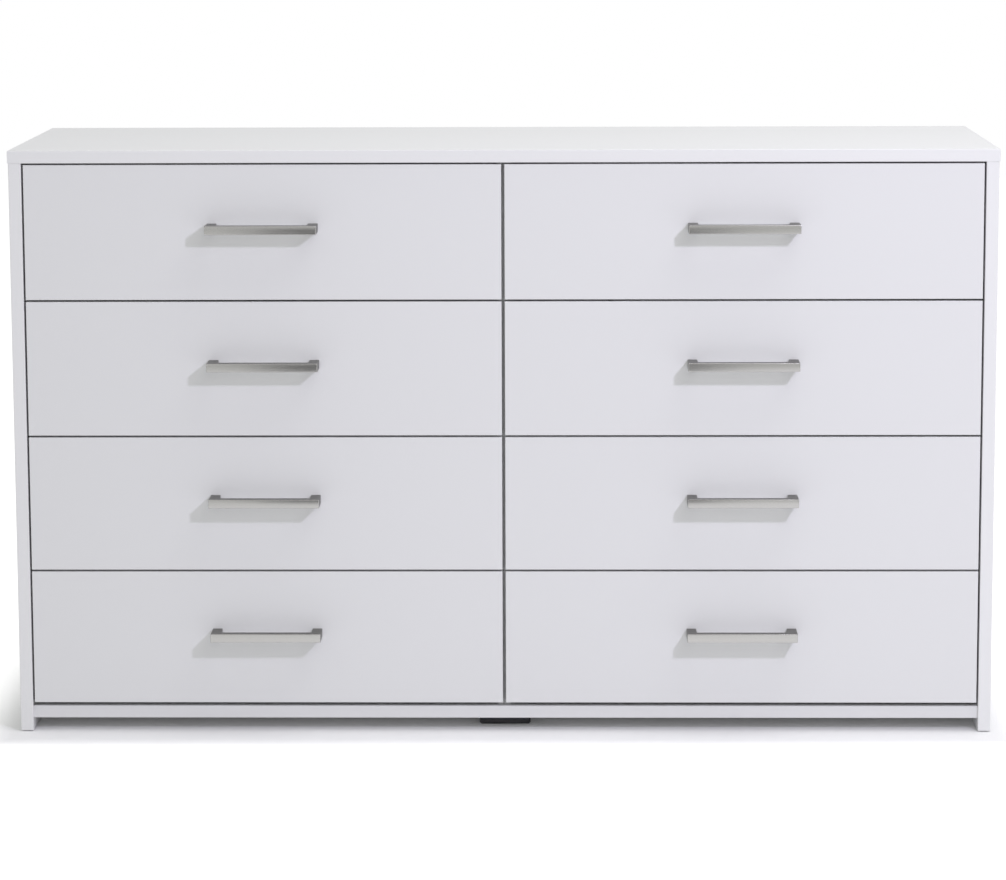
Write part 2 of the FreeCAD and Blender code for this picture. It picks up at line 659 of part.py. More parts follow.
def box_bottom(name, label, lead, place):
    """Thin sheet that runs in the grooves of the front and the sides, under the back."""
    slack = "( groove_deep - fit )"
    owner = board_flat(name, f"{BOX_INNER} + 2 * {slack}", f"{BOX_LONG} + {slack}",
                       "bottom_sheet")
    inner = put(owner, f"{lead} + wall - {slack}", f"board - {slack}", BOTTOM_LOW)
    node(group([inner]), label, *place)


def handle(label, place):
    """Square bar bent into a wide U, with a threaded hole in each foot."""
    owner = body("Handle")
    sketch = sketch_on(owner, "XY_Plane", "0")
    half = "( handle_spacing / 2 + handle_bar_wide / 2 )"
    inner = "( handle_spacing / 2 - handle_bar_wide / 2 )"
    bar_back = "( handle_bar_deep - handle_reach )"
    outline(sketch, [(f"0 - {half}", "0"), (f"0 - {half}", "0 - handle_reach"),
                     (half, "0 - handle_reach"), (half, "0"), (inner, "0"), (inner, bar_back),
                     (f"0 - {inner}", bar_back), (f"0 - {inner}", "0")])
    pad(owner, sketch, "XY_Plane", "handle_bar_tall")
    round_edges(owner, "handle_round", lambda edge: edge.BoundBox.YMin < -NEAR)
    drill(owner, "XZ_Plane", "0", [("0 - handle_spacing / 2", "handle_bar_tall / 2"),
                                   ("handle_spacing / 2", "handle_bar_tall / 2")],
          "handle_screw_radius + fit / 2", "handle_screw_bite + hole_end", -1)
    put(owner, f"{FRONT_WIDE} / 2", "0", f"{HANDLE_UP} - handle_bar_tall / 2")
    node(group([owner]), label, *place)


def drawer_fixings(label, lead, place):
    """Handle screws, cams with their bolts, and the screws of the box back."""
    pieces = []
    for across in SCREW_ACROSS:
        shank = rod("handle_screw_radius", "handle_screw_bite + board", "Y",
                    across, "0 - handle_screw_bite", HANDLE_UP)
        head = rod("screw_head_radius", "screw_head", "Y", across, "board", HANDLE_UP)
        pieces.append(whole(fused(shank, head)))
    for left in (True, False):
        bolt_across = f"{lead} + wall / 2" if left else f"{lead} + {BOX_WIDE} - wall / 2"
        cam_across = (f"{lead} + wall - small_cam_deep" if left
                      else f"{lead} + {BOX_WIDE} - wall")
        cam_along = "board + small_cam_reach"
        disc = rod("small_cam_radius", "small_cam_deep", "X", cam_across, cam_along, CAM_UP)
        slot = rod("bolt_radius + fit", f"small_cam_radius + {OVERSHOOT}", "Y",
                   bolt_across, f"{cam_along} - small_cam_radius - {OVERSHOOT}", CAM_UP)
        pieces.append(whole(less(disc, slot)))
        pieces.append(rod("bolt_radius", "bolt_bite + small_cam_reach - bolt_short", "Y",
                          bolt_across, "board - bolt_bite", CAM_UP))
        for up in BACK_SCREWS:
            along = f"board + {BOX_LONG} - wall / 2"
            rise = f"box_rise + {up}"
            tip = lead if left else f"{lead} + {BOX_WIDE} - box_screw_length"
            top = lead if left else f"{lead} + {BOX_WIDE} - screw_head"
            shank = rod("box_screw_radius", "box_screw_length", "X", tip, along, rise)
            head = rod("screw_head_radius", "screw_head", "X", top, along, rise)
            pieces.append(whole(fused(shank, head)))
    node(group(pieces), label, *place)


def drawer_runners(label, lead, place):
    pieces = []
    along = "board + runner_start"
    for hand in (1, -1):
        face = (f"( {lead} - runner_space )" if hand == 1
                else f"( {lead} + {BOX_WIDE} + runner_space )")
        pieces.append(put(drawer_runner(hand), face, along, CHANNEL_RISE))
        pieces.append(roller(hand, face, f"{along} + {REAR_AXLE_ALONG}",
                             f"{CHANNEL_RISE} + {REAR_AXLE_UP}"))
    node(group(pieces), label, *place)


def drawers():
    columns = {
        "left": (f"( 0 - centre_gap / 2 - {FRONT_WIDE} )", "( runner_space - side_gap )"),
        "right": ("( centre_gap / 2 )", "( board / 2 + runner_space - centre_gap / 2 )"),
    }
    for row, row_name in enumerate(ROW_NAMES):
        for column, (start, lead) in columns.items():
            place = (start, FACE, row_low(row))
            label = f"drawer_{row_name}_{column}"
            drawer_front(f"Front{row_name}{column}", f"{label}_front", lead, place)
            walls = [box_side(lead, True), box_side(lead, False), box_back(lead)]
            node(group(walls), f"{label}_walls", *place)
            box_bottom(f"Bottom{row_name}{column}", f"{label}_bottom", lead, place)
            handle(f"{label}_handle", place)
            drawer_fixings(f"{label}_fixings", lead, place)
            drawer_runners(f"{label}_runners", lead, place)


# ---------------------------------------------------------------- the chest
top_board()
side_board("LeftSide", "left_side_panel", True)
side_board("RightSide", "right_side_panel", False)
divider_board()
bottom_board()
back_sheets()
back_nails()
carcass_fixings()
floor_glides()
centre_foot()
cabinet_runners()
drawers()
doc.recompute()

for item in doc.Objects:
    if "Invalid" in item.State or "Error" in item.State:
        raise RuntimeError(f"{item.Name} could not be built")
for piece in nodes:
    if piece.Shape.isNull() or not piece.Shape.isValid():
        raise RuntimeError(f"{piece.Label} has no valid shape")

os.makedirs("parts", exist_ok=True)
for piece in nodes:
    piece.Shape.exportStep(f"parts/{piece.Label}.step")
print(len(nodes), "sub-parts,", sum(len(piece.Shape.Solids) for piece in nodes), "solids")
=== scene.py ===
import json
import math
import bmesh
import bpy
import numpy as np
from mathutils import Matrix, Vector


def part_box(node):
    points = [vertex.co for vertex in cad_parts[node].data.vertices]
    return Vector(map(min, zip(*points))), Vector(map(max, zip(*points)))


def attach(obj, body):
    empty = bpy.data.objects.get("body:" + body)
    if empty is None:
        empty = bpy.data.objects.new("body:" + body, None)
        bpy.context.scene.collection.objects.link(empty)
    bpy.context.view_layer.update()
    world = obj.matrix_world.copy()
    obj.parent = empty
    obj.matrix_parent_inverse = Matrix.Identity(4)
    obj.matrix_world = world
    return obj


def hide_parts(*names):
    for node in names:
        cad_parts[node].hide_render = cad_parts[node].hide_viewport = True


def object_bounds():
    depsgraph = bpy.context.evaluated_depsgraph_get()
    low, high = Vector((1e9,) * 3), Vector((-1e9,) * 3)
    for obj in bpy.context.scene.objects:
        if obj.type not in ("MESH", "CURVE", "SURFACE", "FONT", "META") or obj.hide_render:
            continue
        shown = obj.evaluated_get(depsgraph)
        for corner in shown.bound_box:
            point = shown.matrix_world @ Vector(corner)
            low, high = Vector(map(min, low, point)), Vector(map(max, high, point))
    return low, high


# Chest of eight drawers in white melamine board with satin nickel handles.
# Metres; the drawers slide along -Y.

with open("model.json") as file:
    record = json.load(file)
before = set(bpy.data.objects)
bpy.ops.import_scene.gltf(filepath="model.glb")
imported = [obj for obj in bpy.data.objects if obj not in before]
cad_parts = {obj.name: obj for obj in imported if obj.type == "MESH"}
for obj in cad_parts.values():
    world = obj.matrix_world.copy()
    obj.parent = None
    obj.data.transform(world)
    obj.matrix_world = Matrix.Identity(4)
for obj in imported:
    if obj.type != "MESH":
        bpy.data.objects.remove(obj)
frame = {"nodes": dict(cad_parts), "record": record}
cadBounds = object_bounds()
nodes = frame["nodes"]
rowNames = ["1", "2", "3", "4"]  # from the top down
columnNames = ["left", "right"]
drawerNames = [f"drawer_{row}_{column}" for row in rowNames for column in columnNames]
print("frame:", len(nodes), "nodes")


class Wire:
    # a node's output that takes part in arithmetic: each operator adds one Math node

    def __init__(self, finish, socket):
        self.finish = finish
        self.socket = socket

    def __add__(self, other):
        return self.finish.maths("ADD", self, other)

    def __sub__(self, other):
        return self.finish.maths("SUBTRACT", self, other)

    def __rsub__(self, other):
        return self.finish.maths("SUBTRACT", other, self)

    def __mul__(self, other):
        return self.finish.maths("MULTIPLY", self, other)

    def __lt__(self, other):
        return self.finish.maths("LESS_THAN", self, other)

    def __gt__(self, other):
        return self.finish.maths("GREATER_THAN", self, other)

    def __abs__(self):
        return self.finish.maths("ABSOLUTE", self)

    __radd__ = __add__
    __rmul__ = __mul__


class Finish:
    # one material: its node tree, and the ways of adding to it

    def __init__(self, name, **surface):
        self.material = bpy.data.materials.new(name)
        self.material.use_nodes = True
        self.tree = self.material.node_tree
        self.shader = self.tree.nodes["Principled BSDF"]
        self.put(self.shader, surface)

    def put(self, node, values):
        for word, value in values.items():
            socket = node.inputs[word if isinstance(word, int) else word.replace("_", " ")]
            if isinstance(value, Wire):
                self.tree.links.new(value.socket, socket)
            else:
                socket.default_value = value

    def node(self, kind, settings, values, output=0):
        made = self.tree.nodes.new("ShaderNode" + kind)
        for word, value in settings.items():
            if word == "stops":
                ramp = made.color_ramp.elements
                while len(ramp) < len(value):
                    ramp.new(1)
                for stop, (place, colour) in zip(ramp, value):
                    stop.position = place
                    stop.color = (*colour, 1) if isinstance(colour, tuple) else (colour,) * 3 + (1,)
            else:
                setattr(made, word, value)
        self.put(made, values)
        return Wire(self, made.outputs[output])

    def maths(self, operation, *values):
        return self.node("Math", {"operation": operation}, dict(enumerate(values)))

    def place(self):
        return self.node("TexCoord", {}, {}, "Object")

    def along(self, axis):
        return self.node("SeparateXYZ", {}, {"Vector": self.place()}, axis)

    def noise(self, scale, detail, stretch=(1, 1, 1), roughness=0.5):
        spot = self.node("Mapping", {}, {"Vector": self.place(), "Scale": stretch})
        values = {"Vector": spot, "Scale": scale, "Detail": detail, "Roughness": roughness}
        return self.node("TexNoise", {}, values, "Fac")

    def blend(self, share, first, second):
        # colour between two, by a share from 0 to 1
        values = {"Factor": share, 6: first, 7: second}
        return self.node("Mix", {"data_type": "RGBA"}, values, 2)

    def bump(self, height, distance, strength=1.0):
        values = {"Height": height, "Distance": distance, "Strength": strength}
        self.put(self.shader, {"Normal": self.node("Bump", {}, values)})


def tint(red, green, blue):
    return (red, green, blue, 1)


board = {
    "white": tint(0.782, 0.784, 0.786),
    "shade": tint(0.768, 0.77, 0.772),
    "band": tint(0.825, 0.826, 0.826),
    "bandDeep": 0.0008,
    "core": tint(0.36, 0.27, 0.18),
    "gloss": 0.3,
    "coreLight": tint(0.56, 0.46, 0.33),
    "pearl": 900,  # grains of the pressed surface per metre
    "pearlDepth": 0.00002,
    "roughness": 0.58,
}


def boardFinish(name, banded):
    # white pressed melamine: cloudy tone, fine pearl, raw particle board on the rear edges;
    # the front edges of carcass boards wear a whiter, smoother band
    look = Finish(name, IOR=1.48, Specular_IOR_Level=board["gloss"])
    cloud = look.noise(2.2, 3)
    pearl = look.noise(board["pearl"], 2)
    skin = look.blend(cloud, board["white"], board["shade"])
    chips = look.noise(260, 4, roughness=0.7)
    core = look.blend(chips, board["core"], board["coreLight"])
    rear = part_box("left_side_panel")[1].y
    raw = look.along("Y") > rear - 0.00005
    roughness = board["roughness"] + (pearl - 0.5) * 0.12 + raw * 0.3
    if banded:
        band = look.along("Y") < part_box("top_panel")[0].y + board["bandDeep"] + 0.001
        skin = look.blend(band, skin, board["band"])
        roughness = roughness - band * 0.08
    look.put(look.shader, {"Base_Color": look.blend(raw, skin, core), "Roughness": roughness})
    look.bump(pearl + raw * chips * 4, board["pearlDepth"])
    return look.material


def sheetFinish():
    # thin printed hardboard: a trace of pressed fibre under the white
    look = Finish("printed_hardboard", IOR=1.45)
    fibre = look.noise(380, 4, (1, 1, 0.25), 0.6)
    cloud = look.noise(3, 4)
    look.put(look.shader, {
        "Base_Color": look.blend(fibre * 0.5 + cloud * 0.5, tint(0.70, 0.70, 0.695), tint(0.76, 0.76, 0.755)),
        "Roughness": 0.5 + fibre * 0.15,
    })
    look.bump(fibre, 0.00004)
    return look.material


def metalFinish(name, colour, roughness, stretch, anisotropy=0.0, grazing=1.0):
    # plated or brushed metal: fine streaks in the roughness and the surface;
    # grazing below 1 dulls what it reflects at a low angle
    look = Finish(name, Metallic=1.0, Anisotropic=anisotropy, Specular_Tint=tint(grazing, grazing, grazing))
    streak = look.noise(700, 3, stretch)
    cloud = look.noise(25, 2)
    darker = tuple(0.88 * part for part in colour)
    look.put(look.shader, {
        "Base_Color": look.blend(streak, (*darker, 1), (*colour, 1)),
        "Roughness": roughness + (streak - 0.5) * 0.12 + (cloud - 0.5) * 0.06,
    })
    look.bump(streak, 0.000006)
    return look.material


def coatedSteelFinish():
    look = Finish("white_powder_coat", IOR=1.5)
    peel = look.noise(1300, 2)
    cloud = look.noise(12, 2)
    look.put(look.shader, {
        "Base_Color": look.blend(cloud, tint(0.72, 0.72, 0.71), tint(0.77, 0.77, 0.76)),
        "Roughness": 0.34 + peel * 0.14,
    })
    look.bump(peel, 0.00003)
    return look.material


def plasticFinish(name, colour, roughness):
    look = Finish(name, IOR=1.46)
    grain = look.noise(1600, 3)
    lighter = tuple(min(1, 1.25 * part + 0.01) for part in colour)
    look.put(look.shader, {
        "Base_Color": look.blend(grain * 0.5, (*colour, 1), (*lighter, 1)),
        "Roughness": roughness + (grain - 0.5) * 0.15,
    })
    look.bump(grain, 0.00004)
    return look.material


finishes = {
    "white_board": boardFinish("drawer_melamine", False),
    "carcass_board": boardFinish("carcass_melamine", True),
    "back_sheet": sheetFinish(),
    "satin_nickel": metalFinish("brushed_nickel", (0.42, 0.415, 0.40), 0.24, (0.02, 1, 1), 0.5, 0.5),
    "white_steel": coatedSteelFinish(),
    "zinc": metalFinish("zinc_plate", (0.66, 0.67, 0.68), 0.35, (1, 1, 1)),
    "nylon": plasticFinish("white_nylon", (0.74, 0.74, 0.72), 0.4),
    "grey_plastic": plasticFinish("moulded_grey_plastic", (0.45, 0.45, 0.46), 0.5),
    "black_plastic": plasticFinish("moulded_black_plastic", (0.03, 0.03, 0.035), 0.45),
}
for part in frame["record"]["subparts"]:
    mesh = nodes[part["node"]].data
    mesh.materials.clear()
    inCarcass = part["material_slot"] == "white_board" and not part["node"].startswith("drawer")
    mesh.materials.append(finishes["carcass_board" if inCarcass else part["material_slot"]])
print("finishes:", len(finishes))


def piece(name, grids, finish, body, creaseDegrees=35):
    # one object from closed grids of points: rows by columns, columns close on themselves,
    # first and last row are filled with a flat face; doubles are merged, faces turned outwards
    points, faces, start = [], [], 0
    for grid in grids:
        rows, columns = grid.shape[:2]
        spot = start + np.arange(rows * columns).reshape(rows, columns)
        after = np.roll(spot, -1, axis=1)
        quads = np.stack([spot[:-1], after[:-1], after[1:], spot[1:]], axis=-1).reshape(-1, 4)
        faces += quads.tolist() + [spot[0][::-1].tolist(), spot[-1].tolist()]
        points.append(grid.reshape(-1, 3))
        start += rows * columns
    mesh = bpy.data.meshes.new(name)
    mesh.from_pydata(np.concatenate(points).tolist(), [], faces)
    work = bmesh.new()
    work.from_mesh(mesh)
    bmesh.ops.remove_doubles(work, verts=work.verts, dist=1e-7)
    bmesh.ops.dissolve_degenerate(work, edges=work.edges, dist=1e-8)
    bmesh.ops.recalc_face_normals(work, faces=work.faces)
    work.to_mesh(mesh)
    work.free()
    mesh.shade_smooth()
    mesh.set_sharp_from_angle(angle=math.radians(creaseDegrees))
    mesh.materials.append(finish)
    made = bpy.data.objects.new(name, mesh)
    bpy.context.scene.collection.objects.link(made)
    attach(made, body)
    return made


def turned(spot, axis, profile, turns=28, recess=0.0):
    # radius and height along the axis give a ring each: spot + axis * height + radius * (cos, sin)
    # recess sinks a cross-shaped slot into the rings whose third number is 1
    spot, axis = np.array(spot, float), np.array(axis, float)
    side = np.array([0.0, 0.0, 1.0]) if abs(axis[2]) < 0.5 else np.array([1.0, 0.0, 0.0])
    other = np.cross(axis, side)
    rings = np.array([(*ring, 0)[:3] for ring in profile], float)
    angle = np.linspace(0, 2 * math.pi, turns, endpoint=False)
    across = rings[:, :1] * np.cos(angle)
    up = rings[:, :1] * np.sin(angle)
    wide = rings[:, 0].max()
    near, far = np.minimum(abs(across), abs(up)), np.maximum(abs(across), abs(up))
    cross = np.clip(1.6 - near / (0.13 * wide), 0, 1) * np.clip((0.62 * wide - far) / (0.1 * wide), 0, 1)
    height = rings[:, 1:2] - recess * cross * rings[:, 2:3]
    return (spot + height[..., None] * axis + across[..., None] * side + up[..., None] * other)


def rounded(corners, radii, steps=4):
    # closed outline whose corners become arcs: each arc starts and ends a radius from its corner
    # and is sampled evenly, as corner + a * (1 - t)^2 + b * t^2 with its two arms
    corners = np.array(corners, float)
    back = np.roll(corners, 1, axis=0) - corners
    ahead = np.roll(corners, -1, axis=0) - corners
    reach = np.array(radii, float)[:, None]
    arms = [arm / np.linalg.norm(arm, axis=1, keepdims=True) * reach for arm in (back, ahead)]
    share = np.linspace(0, 1, steps + 1)[None, :, None]
    curve = corners[:, None] + arms[0][:, None] * (1 - share) ** 2 + arms[1][:, None] * share ** 2
    return curve.reshape(-1, 2)


def carried(outline, stations, place):
    # an outline carried along a path: place(outline, station) gives its points in space
    return np.stack([place(outline, station) for station in stations])


handle = {
    "spacing": 0.128,
    "barWide": 0.0124,
    "barDeep": 0.012,
    "edge": 0.0007,  # rounding of the long edges
    "corner": 0.0012,  # rounding where the bar meets a post
}


def makeHandle(drawer):
    # rounded rectangle of share across the bar and height, carried from one post to the other:
    # a point is inner + (outer - inner) * share, with the inner and outer lines of the wide U
    low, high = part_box(f"{drawer}_handle")
    middle = (low.x + high.x) / 2
    wide, reach = (high.x - low.x) / 2, high.y - low.y
    inside = wide - handle["barWide"]
    steps = np.linspace(0, 1, 6)

    def line(width, depth, radius):
        turn = np.stack([radius * (1 - steps) ** 2, radius * steps ** 2], axis=1)
        corner = np.array([-width, -depth]) + turn[:, ::-1] * [1, 0] + turn[:, :1] * [0, 1]
        half = np.concatenate([[[-width, 0]], corner])
        return np.concatenate([half, (half * [-1, 1])[::-1]])

    outer = line(wide, reach, handle["corner"])
    inner = line(inside, reach - handle["barDeep"], handle["corner"] / 2)
    thick, tall = handle["barDeep"], high.z - low.z
    profile = rounded([(0, 0), (thick, 0), (thick, tall), (0, tall)], [handle["edge"]] * 4)
    across = profile[None, :, :1] / thick
    flat = inner[:, None] + (outer - inner)[:, None] * across
    up = np.broadcast_to(profile[None, :, 1:], flat.shape[:2] + (1,))
    grid = np.concatenate([flat + [middle, high.y], up + low.z], axis=2)
    made = piece(f"{drawer}_bar_handle", [grid], finishes["satin_nickel"], drawer)
    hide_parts(f"{drawer}_handle")


fixing = {
    "handleHead": 0.004,
    "handleShank": 0.002,
    "headTall": 0.0022,
    "boxHead": 0.004,
    "boxShank": 0.002,
    "boxScrewLong": 0.038,
    "cam": 0.006,
    "camDeep": 0.0095,
    "camBack": 0.024,  # cam behind the front edge of the drawer side
    "camUp": 0.07,
    "wall": 0.012,
    "bolt": 0.003,
    "boltBite": 0.011,
    "board": 0.016,
    "recess": 0.0011,
}


def panHead(radius, tall, shank, long):
    # domed head with a cross slot at height 0 to tall, and its shank below
    dome = [(radius * share, tall * (1 - 0.45 * share ** 3), 1) for share in np.linspace(0, 0.94, 12)]
    return dome + [(radius, tall * 0.42), (radius, 0), (shank, 0), (shank, -long), (0, -long - shank)]


def flatHead(radius, shank, long):
    # head flush with the face that it is sunk into, tapering to the shank
    face = [(radius * share, 0, 1) for share in np.linspace(0, 0.97, 12)]
    return face + [(radius, -0.0002), (shank, -(radius - shank)), (shank, -long), (0, -long - shank)]


def camDisc(radius, deep):
    face = [(radius * share, 0, 1) for share in np.linspace(0, 0.95, 12)]
    return face + [(radius, -0.0004), (radius, -deep), (0, -deep)]


def threadedBolt(radius, long, grip, pitch=0.0025):
    # ribs on the end that bites the front board, then a plain stem to the cam
    ribs = [(0, 0)]
    for turn in range(int(grip / pitch)):
        ribs += [(radius * 0.8, turn * pitch + 0.0003), (radius, (turn + 0.5) * pitch)]
    return ribs + [(radius * 0.8, grip), (radius * 0.7, long - 0.003), (radius, long - 0.002), (0, long)]


def makeFixings(drawer):
    walls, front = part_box(f"{drawer}_walls"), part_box(f"{drawer}_front")
    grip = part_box(f"{drawer}_handle")
    grids = []
    middle, up = (grip[0].x + grip[1].x) / 2, (grip[0].z + grip[1].z) / 2
    long = fixing["board"] + fixing["boltBite"]
    for hand in (-1, 1):
        spot = (middle + hand * handle["spacing"] / 2, front[1].y, up)
        grids.append(turned(spot, (0, 1, 0),
                            panHead(fixing["handleHead"], fixing["headTall"], fixing["handleShank"], long),
                            recess=fixing["recess"]))
        outside = walls[0].x if hand < 0 else walls[1].x
        inside = outside - hand * fixing["wall"]
        along, rise = walls[0].y + fixing["camBack"], walls[0].z + fixing["camUp"]
        grids.append(turned((inside, along, rise), (-hand, 0, 0),
                            camDisc(fixing["cam"], fixing["camDeep"]), recess=fixing["recess"]))
        stem = fixing["boltBite"] + fixing["camBack"] - fixing["cam"]
        centre = outside - hand * fixing["wall"] / 2
        grids.append(turned((centre, walls[0].y - fixing["boltBite"], rise), (0, 1, 0),
                            threadedBolt(fixing["bolt"], stem, fixing["boltBite"]), turns=16))
        tall = walls[1].z - walls[0].z
        for share in (1 / 3, 4 / 5):
            spot = (outside, walls[1].y - fixing["wall"] / 2, walls[0].z + tall * share)
            grids.append(turned(spot, (hand, 0, 0),
                                flatHead(fixing["boxHead"], fixing["boxShank"], fixing["boxScrewLong"]),
                                recess=fixing["recess"]))
    made = piece(f"{drawer}_screws_and_cams", grids, finishes["zinc"], drawer)
    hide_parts(f"{drawer}_fixings")


runner = {
    "steel": 0.0012,
    "bend": 0.0022,  # outside of a fold
    "fold": 0.001,  # inside of a fold
    "lip": 0.0005,
    "channelWide": 0.0106,
    "channelTall": 0.020,
    "bay": 0.026,
    "slope": 0.006,  # length over which the top flange grows behind the bay
    "space": 0.0125,
    "drop": 0.0035,
    "foot": 0.010,
    "flangeSide": 0.001,
    "flangeGap": 0.0008,
    "roller": 0.0095,
    "rollerWide": 0.007,
    "rollerSide": 0.003,
    "inset": 0.012,
    "running": 0.0003,
    "axle": 0.0025,
    "screwHead": 0.003,
    "screwTall": 0.001,
    "screwPlaces": (0.04, 0.5, -0.04),  # behind the front end, a share of the length, from the rear
}


def runnerFaces(drawer):
    # carcass faces beside the drawer, channel floor, front and rear end of its runners
    low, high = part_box(f"{drawer}_runners")
    edge = runner["steel"] + runner["flangeSide"]
    channel = low.z + runner["drop"] + runner["steel"]
    return ((low.x - edge, 1), (high.x + edge, -1)), channel, low.y, high.y


def lengthwise(face, hand, up):
    # places an outline of distance from the face and height at a station along Y
    return lambda outline, along: np.stack([face + hand * outline[:, 0], np.full(len(outline), along),
                                            up + outline[:, 1]], axis=1)


def cabinetRunner(face, hand, up, front, rear):
    steel, wide, tall = runner["steel"], runner["channelWide"], runner["channelTall"]
    bend, fold, lip = runner["bend"], runner["fold"], runner["lip"]

    def section(share):
        reach = steel + 0.0012 + (wide - steel - 0.0012) * share
        corners = [(0, -steel), (wide, -steel), (wide, 0), (steel, 0),
                   (steel, tall), (reach, tall), (reach, tall + steel), (0, tall + steel)]
        return rounded(corners, [bend, lip, lip, fold, fold, lip, lip, bend])

    start, end = front + runner["bay"], front + runner["bay"] + runner["slope"]
    stations = [(front, 0), (start, 0), ((start + end) / 2, 0.6), (end, 1), (rear, 1)]
    place = lengthwise(face, hand, up)
    return np.stack([place(section(share), along) for along, share in stations])


def drawerRail(face, hand, up, front, rear):
    steel, space, drop = runner["steel"], runner["space"], runner["drop"]
    bend, fold, lip = runner["bend"], runner["fold"], runner["lip"]
    under = runner["channelTall"] + steel + runner["flangeGap"]
    tip = steel + runner["flangeSide"]
    corners = [(space - steel, -drop - steel), (space + runner["foot"], -drop - steel),
               (space + runner["foot"], -drop), (space, -drop), (space, under + steel),
               (tip, under + steel), (tip, under), (space - steel, under)]
    outline = rounded(corners, [bend, lip, lip, fold, bend, lip, lip, fold])
    return carried(outline, np.linspace(front, rear, 5), lengthwise(face, hand, up))


def rollerWheel(face, hand, along, up):
    # crowned tyre with a dished hub on both faces
    wide, radius, axle = runner["rollerWide"], runner["roller"], runner["axle"] + 0.0004
    rim = 0.0008
    profile = [(axle, 0.0002), (axle + 0.001, 0), (radius * 0.55, 0), (radius * 0.62, 0.0008),
               (radius * 0.78, 0.0008), (radius * 0.84, 0), (radius - rim, 0), (radius - 0.0002, rim),
               (radius, wide / 2), (radius - 0.0002, wide - rim), (radius - rim, wide),
               (radius * 0.84, wide), (radius * 0.78, wide - 0.0008), (radius * 0.62, wide - 0.0008),
               (radius * 0.55, wide), (axle + 0.001, wide), (axle, wide - 0.0002)]
    return turned((face + hand * runner["rollerSide"], along, up), (hand, 0, 0), profile, turns=40)


def axlePin(start, hand, along, up, long):
    radius = runner["axle"]
    profile = [(0, 0), (radius, 0), (radius, long - 0.0006), (radius * 0.8, long), (0, long)]
    return turned((start, along, up), (hand, 0, 0), profile, turns=24)


def makeRunners():
    channels, wheels, screws = [], [], []
    under = runner["channelTall"] + runner["steel"] + runner["flangeGap"]
    frontAxle, rearAxle = under - runner["running"] - runner["roller"], runner["running"] + runner["roller"]
    middle = runner["steel"] / 2
    for drawer in drawerNames:
        faces, up, front, rear = runnerFaces(drawer)
        rails, drawerWheels = [], []
        for face, hand in faces:
            channels.append(cabinetRunner(face, hand, up, front, rear))
            channels.append(axlePin(face + hand * middle, hand, front + runner["inset"], up + frontAxle,
                                    runner["channelWide"] - middle))
            wheels.append(rollerWheel(face, hand, front + runner["inset"], up + frontAxle))
            places = (front + runner["screwPlaces"][0], (front + rear) * runner["screwPlaces"][1],
                      rear + runner["screwPlaces"][2])
            for along in places:
                spot = (face + hand * runner["steel"], along, up + runner["channelTall"] / 2)
                head = panHead(runner["screwHead"], runner["screwTall"], 0.0017, 0.0065)
                screws.append(turned(spot, (hand, 0, 0), head, recess=0.0006))
            rails.append(drawerRail(face, hand, up, front, rear))
            web = face + hand * (runner["space"] - middle)
            reach = runner["space"] - middle - runner["steel"] - runner["flangeSide"]
            rails.append(axlePin(web, -hand, rear - runner["inset"], up + rearAxle, reach))
            drawerWheels.append(rollerWheel(face, hand, rear - runner["inset"], up + rearAxle))
        made = piece(f"{drawer}_rails", rails, finishes["white_steel"], drawer)
        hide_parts(f"{drawer}_runners")
        made = piece(f"{drawer}_rollers", drawerWheels, finishes["nylon"], drawer)
    made = piece("cabinet_channels", channels, finishes["white_steel"], "carcass")
    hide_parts("cabinet_runners")
    made = piece("cabinet_rollers", wheels, finishes["nylon"], "carcass")
    made = piece("runner_fixing_screws", screws, finishes["zinc"], "carcass")
    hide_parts("runner_screws")


back = {
    "sunk": 0.0003,  # outer face inside the highest nail heads
    "bow": 0.0008,  # how far a sheet bends inwards between its nails
    "seam": 0.0001,
    "steps": 28,
    "nailHead": 0.002,
    "nailTall": 0.0003,
    "nailRows": 5,
    "nailColumns": 4,
}


def makeBack():
    # each sheet is a closed loop of its thickness carried from one side to the other, and its
    # depth is bow * sin(pi u)^0.5 * sin(pi v)^0.5 inwards at the shares u and v of its width and height
    low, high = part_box("back_panels")
    thick = high.y - low.y - back["sunk"]
    share = np.linspace(0, 1, back["steps"])
    grids = []
    for left, right in ((low.x, -back["seam"]), (back["seam"], high.x)):
        across = left + (right - left) * share[:, None]
        up = np.concatenate([share, share[::-1]])[None, :]
        bow = back["bow"] * np.sqrt(np.sin(math.pi * share)[:, None] * np.abs(np.sin(math.pi * up)))
        rear = np.concatenate([np.full(len(share), thick), np.zeros(len(share))])[None, :]
        depth = low.y + np.maximum(rear - bow, 0 * rear + (rear > 0) * 0.0005)
        grids.append(np.stack(np.broadcast_arrays(across, depth, low.z + (high.z - low.z) * up), axis=-1))
    made = piece("hardboard_back", grids, finishes["back_sheet"], "carcass")
    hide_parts("back_panels")


def makeNails():
    # round heads along the edges of both sheets, over the middle of the boards behind
    low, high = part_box("back_nails")
    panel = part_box("back_panels")
    radius, tall = back["nailHead"], back["nailTall"]
    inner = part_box("centre_divider")[1].x / 2
    outer, bottom, top = high.x - radius, low.z + radius, high.z - radius
    ups = np.linspace(bottom, top, back["nailRows"])
    places = [(across, up) for up in ups for across in (inner, outer)]
    columns = np.linspace(inner, outer, back["nailColumns"] + 1)[1:-1]
    places += [(across, up) for across in columns for up in (bottom, top)]
    profile = [(0, tall), (radius * 0.5, tall * 0.9), (radius * 0.85, tall * 0.6), (radius, tall * 0.1),
               (radius, -0.0002), (0.0009, -0.0004), (0.0009, -0.015), (0, -0.0165)]
    face = panel[1].y - tall
    grids = [turned((hand * across, face, up), (0, 1, 0), profile, turns=20)
             for hand in (-1, 1) for across, up in places]
    made = piece("back_nail_heads", grids, finishes["zinc"], "carcass")
    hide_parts("back_nails")


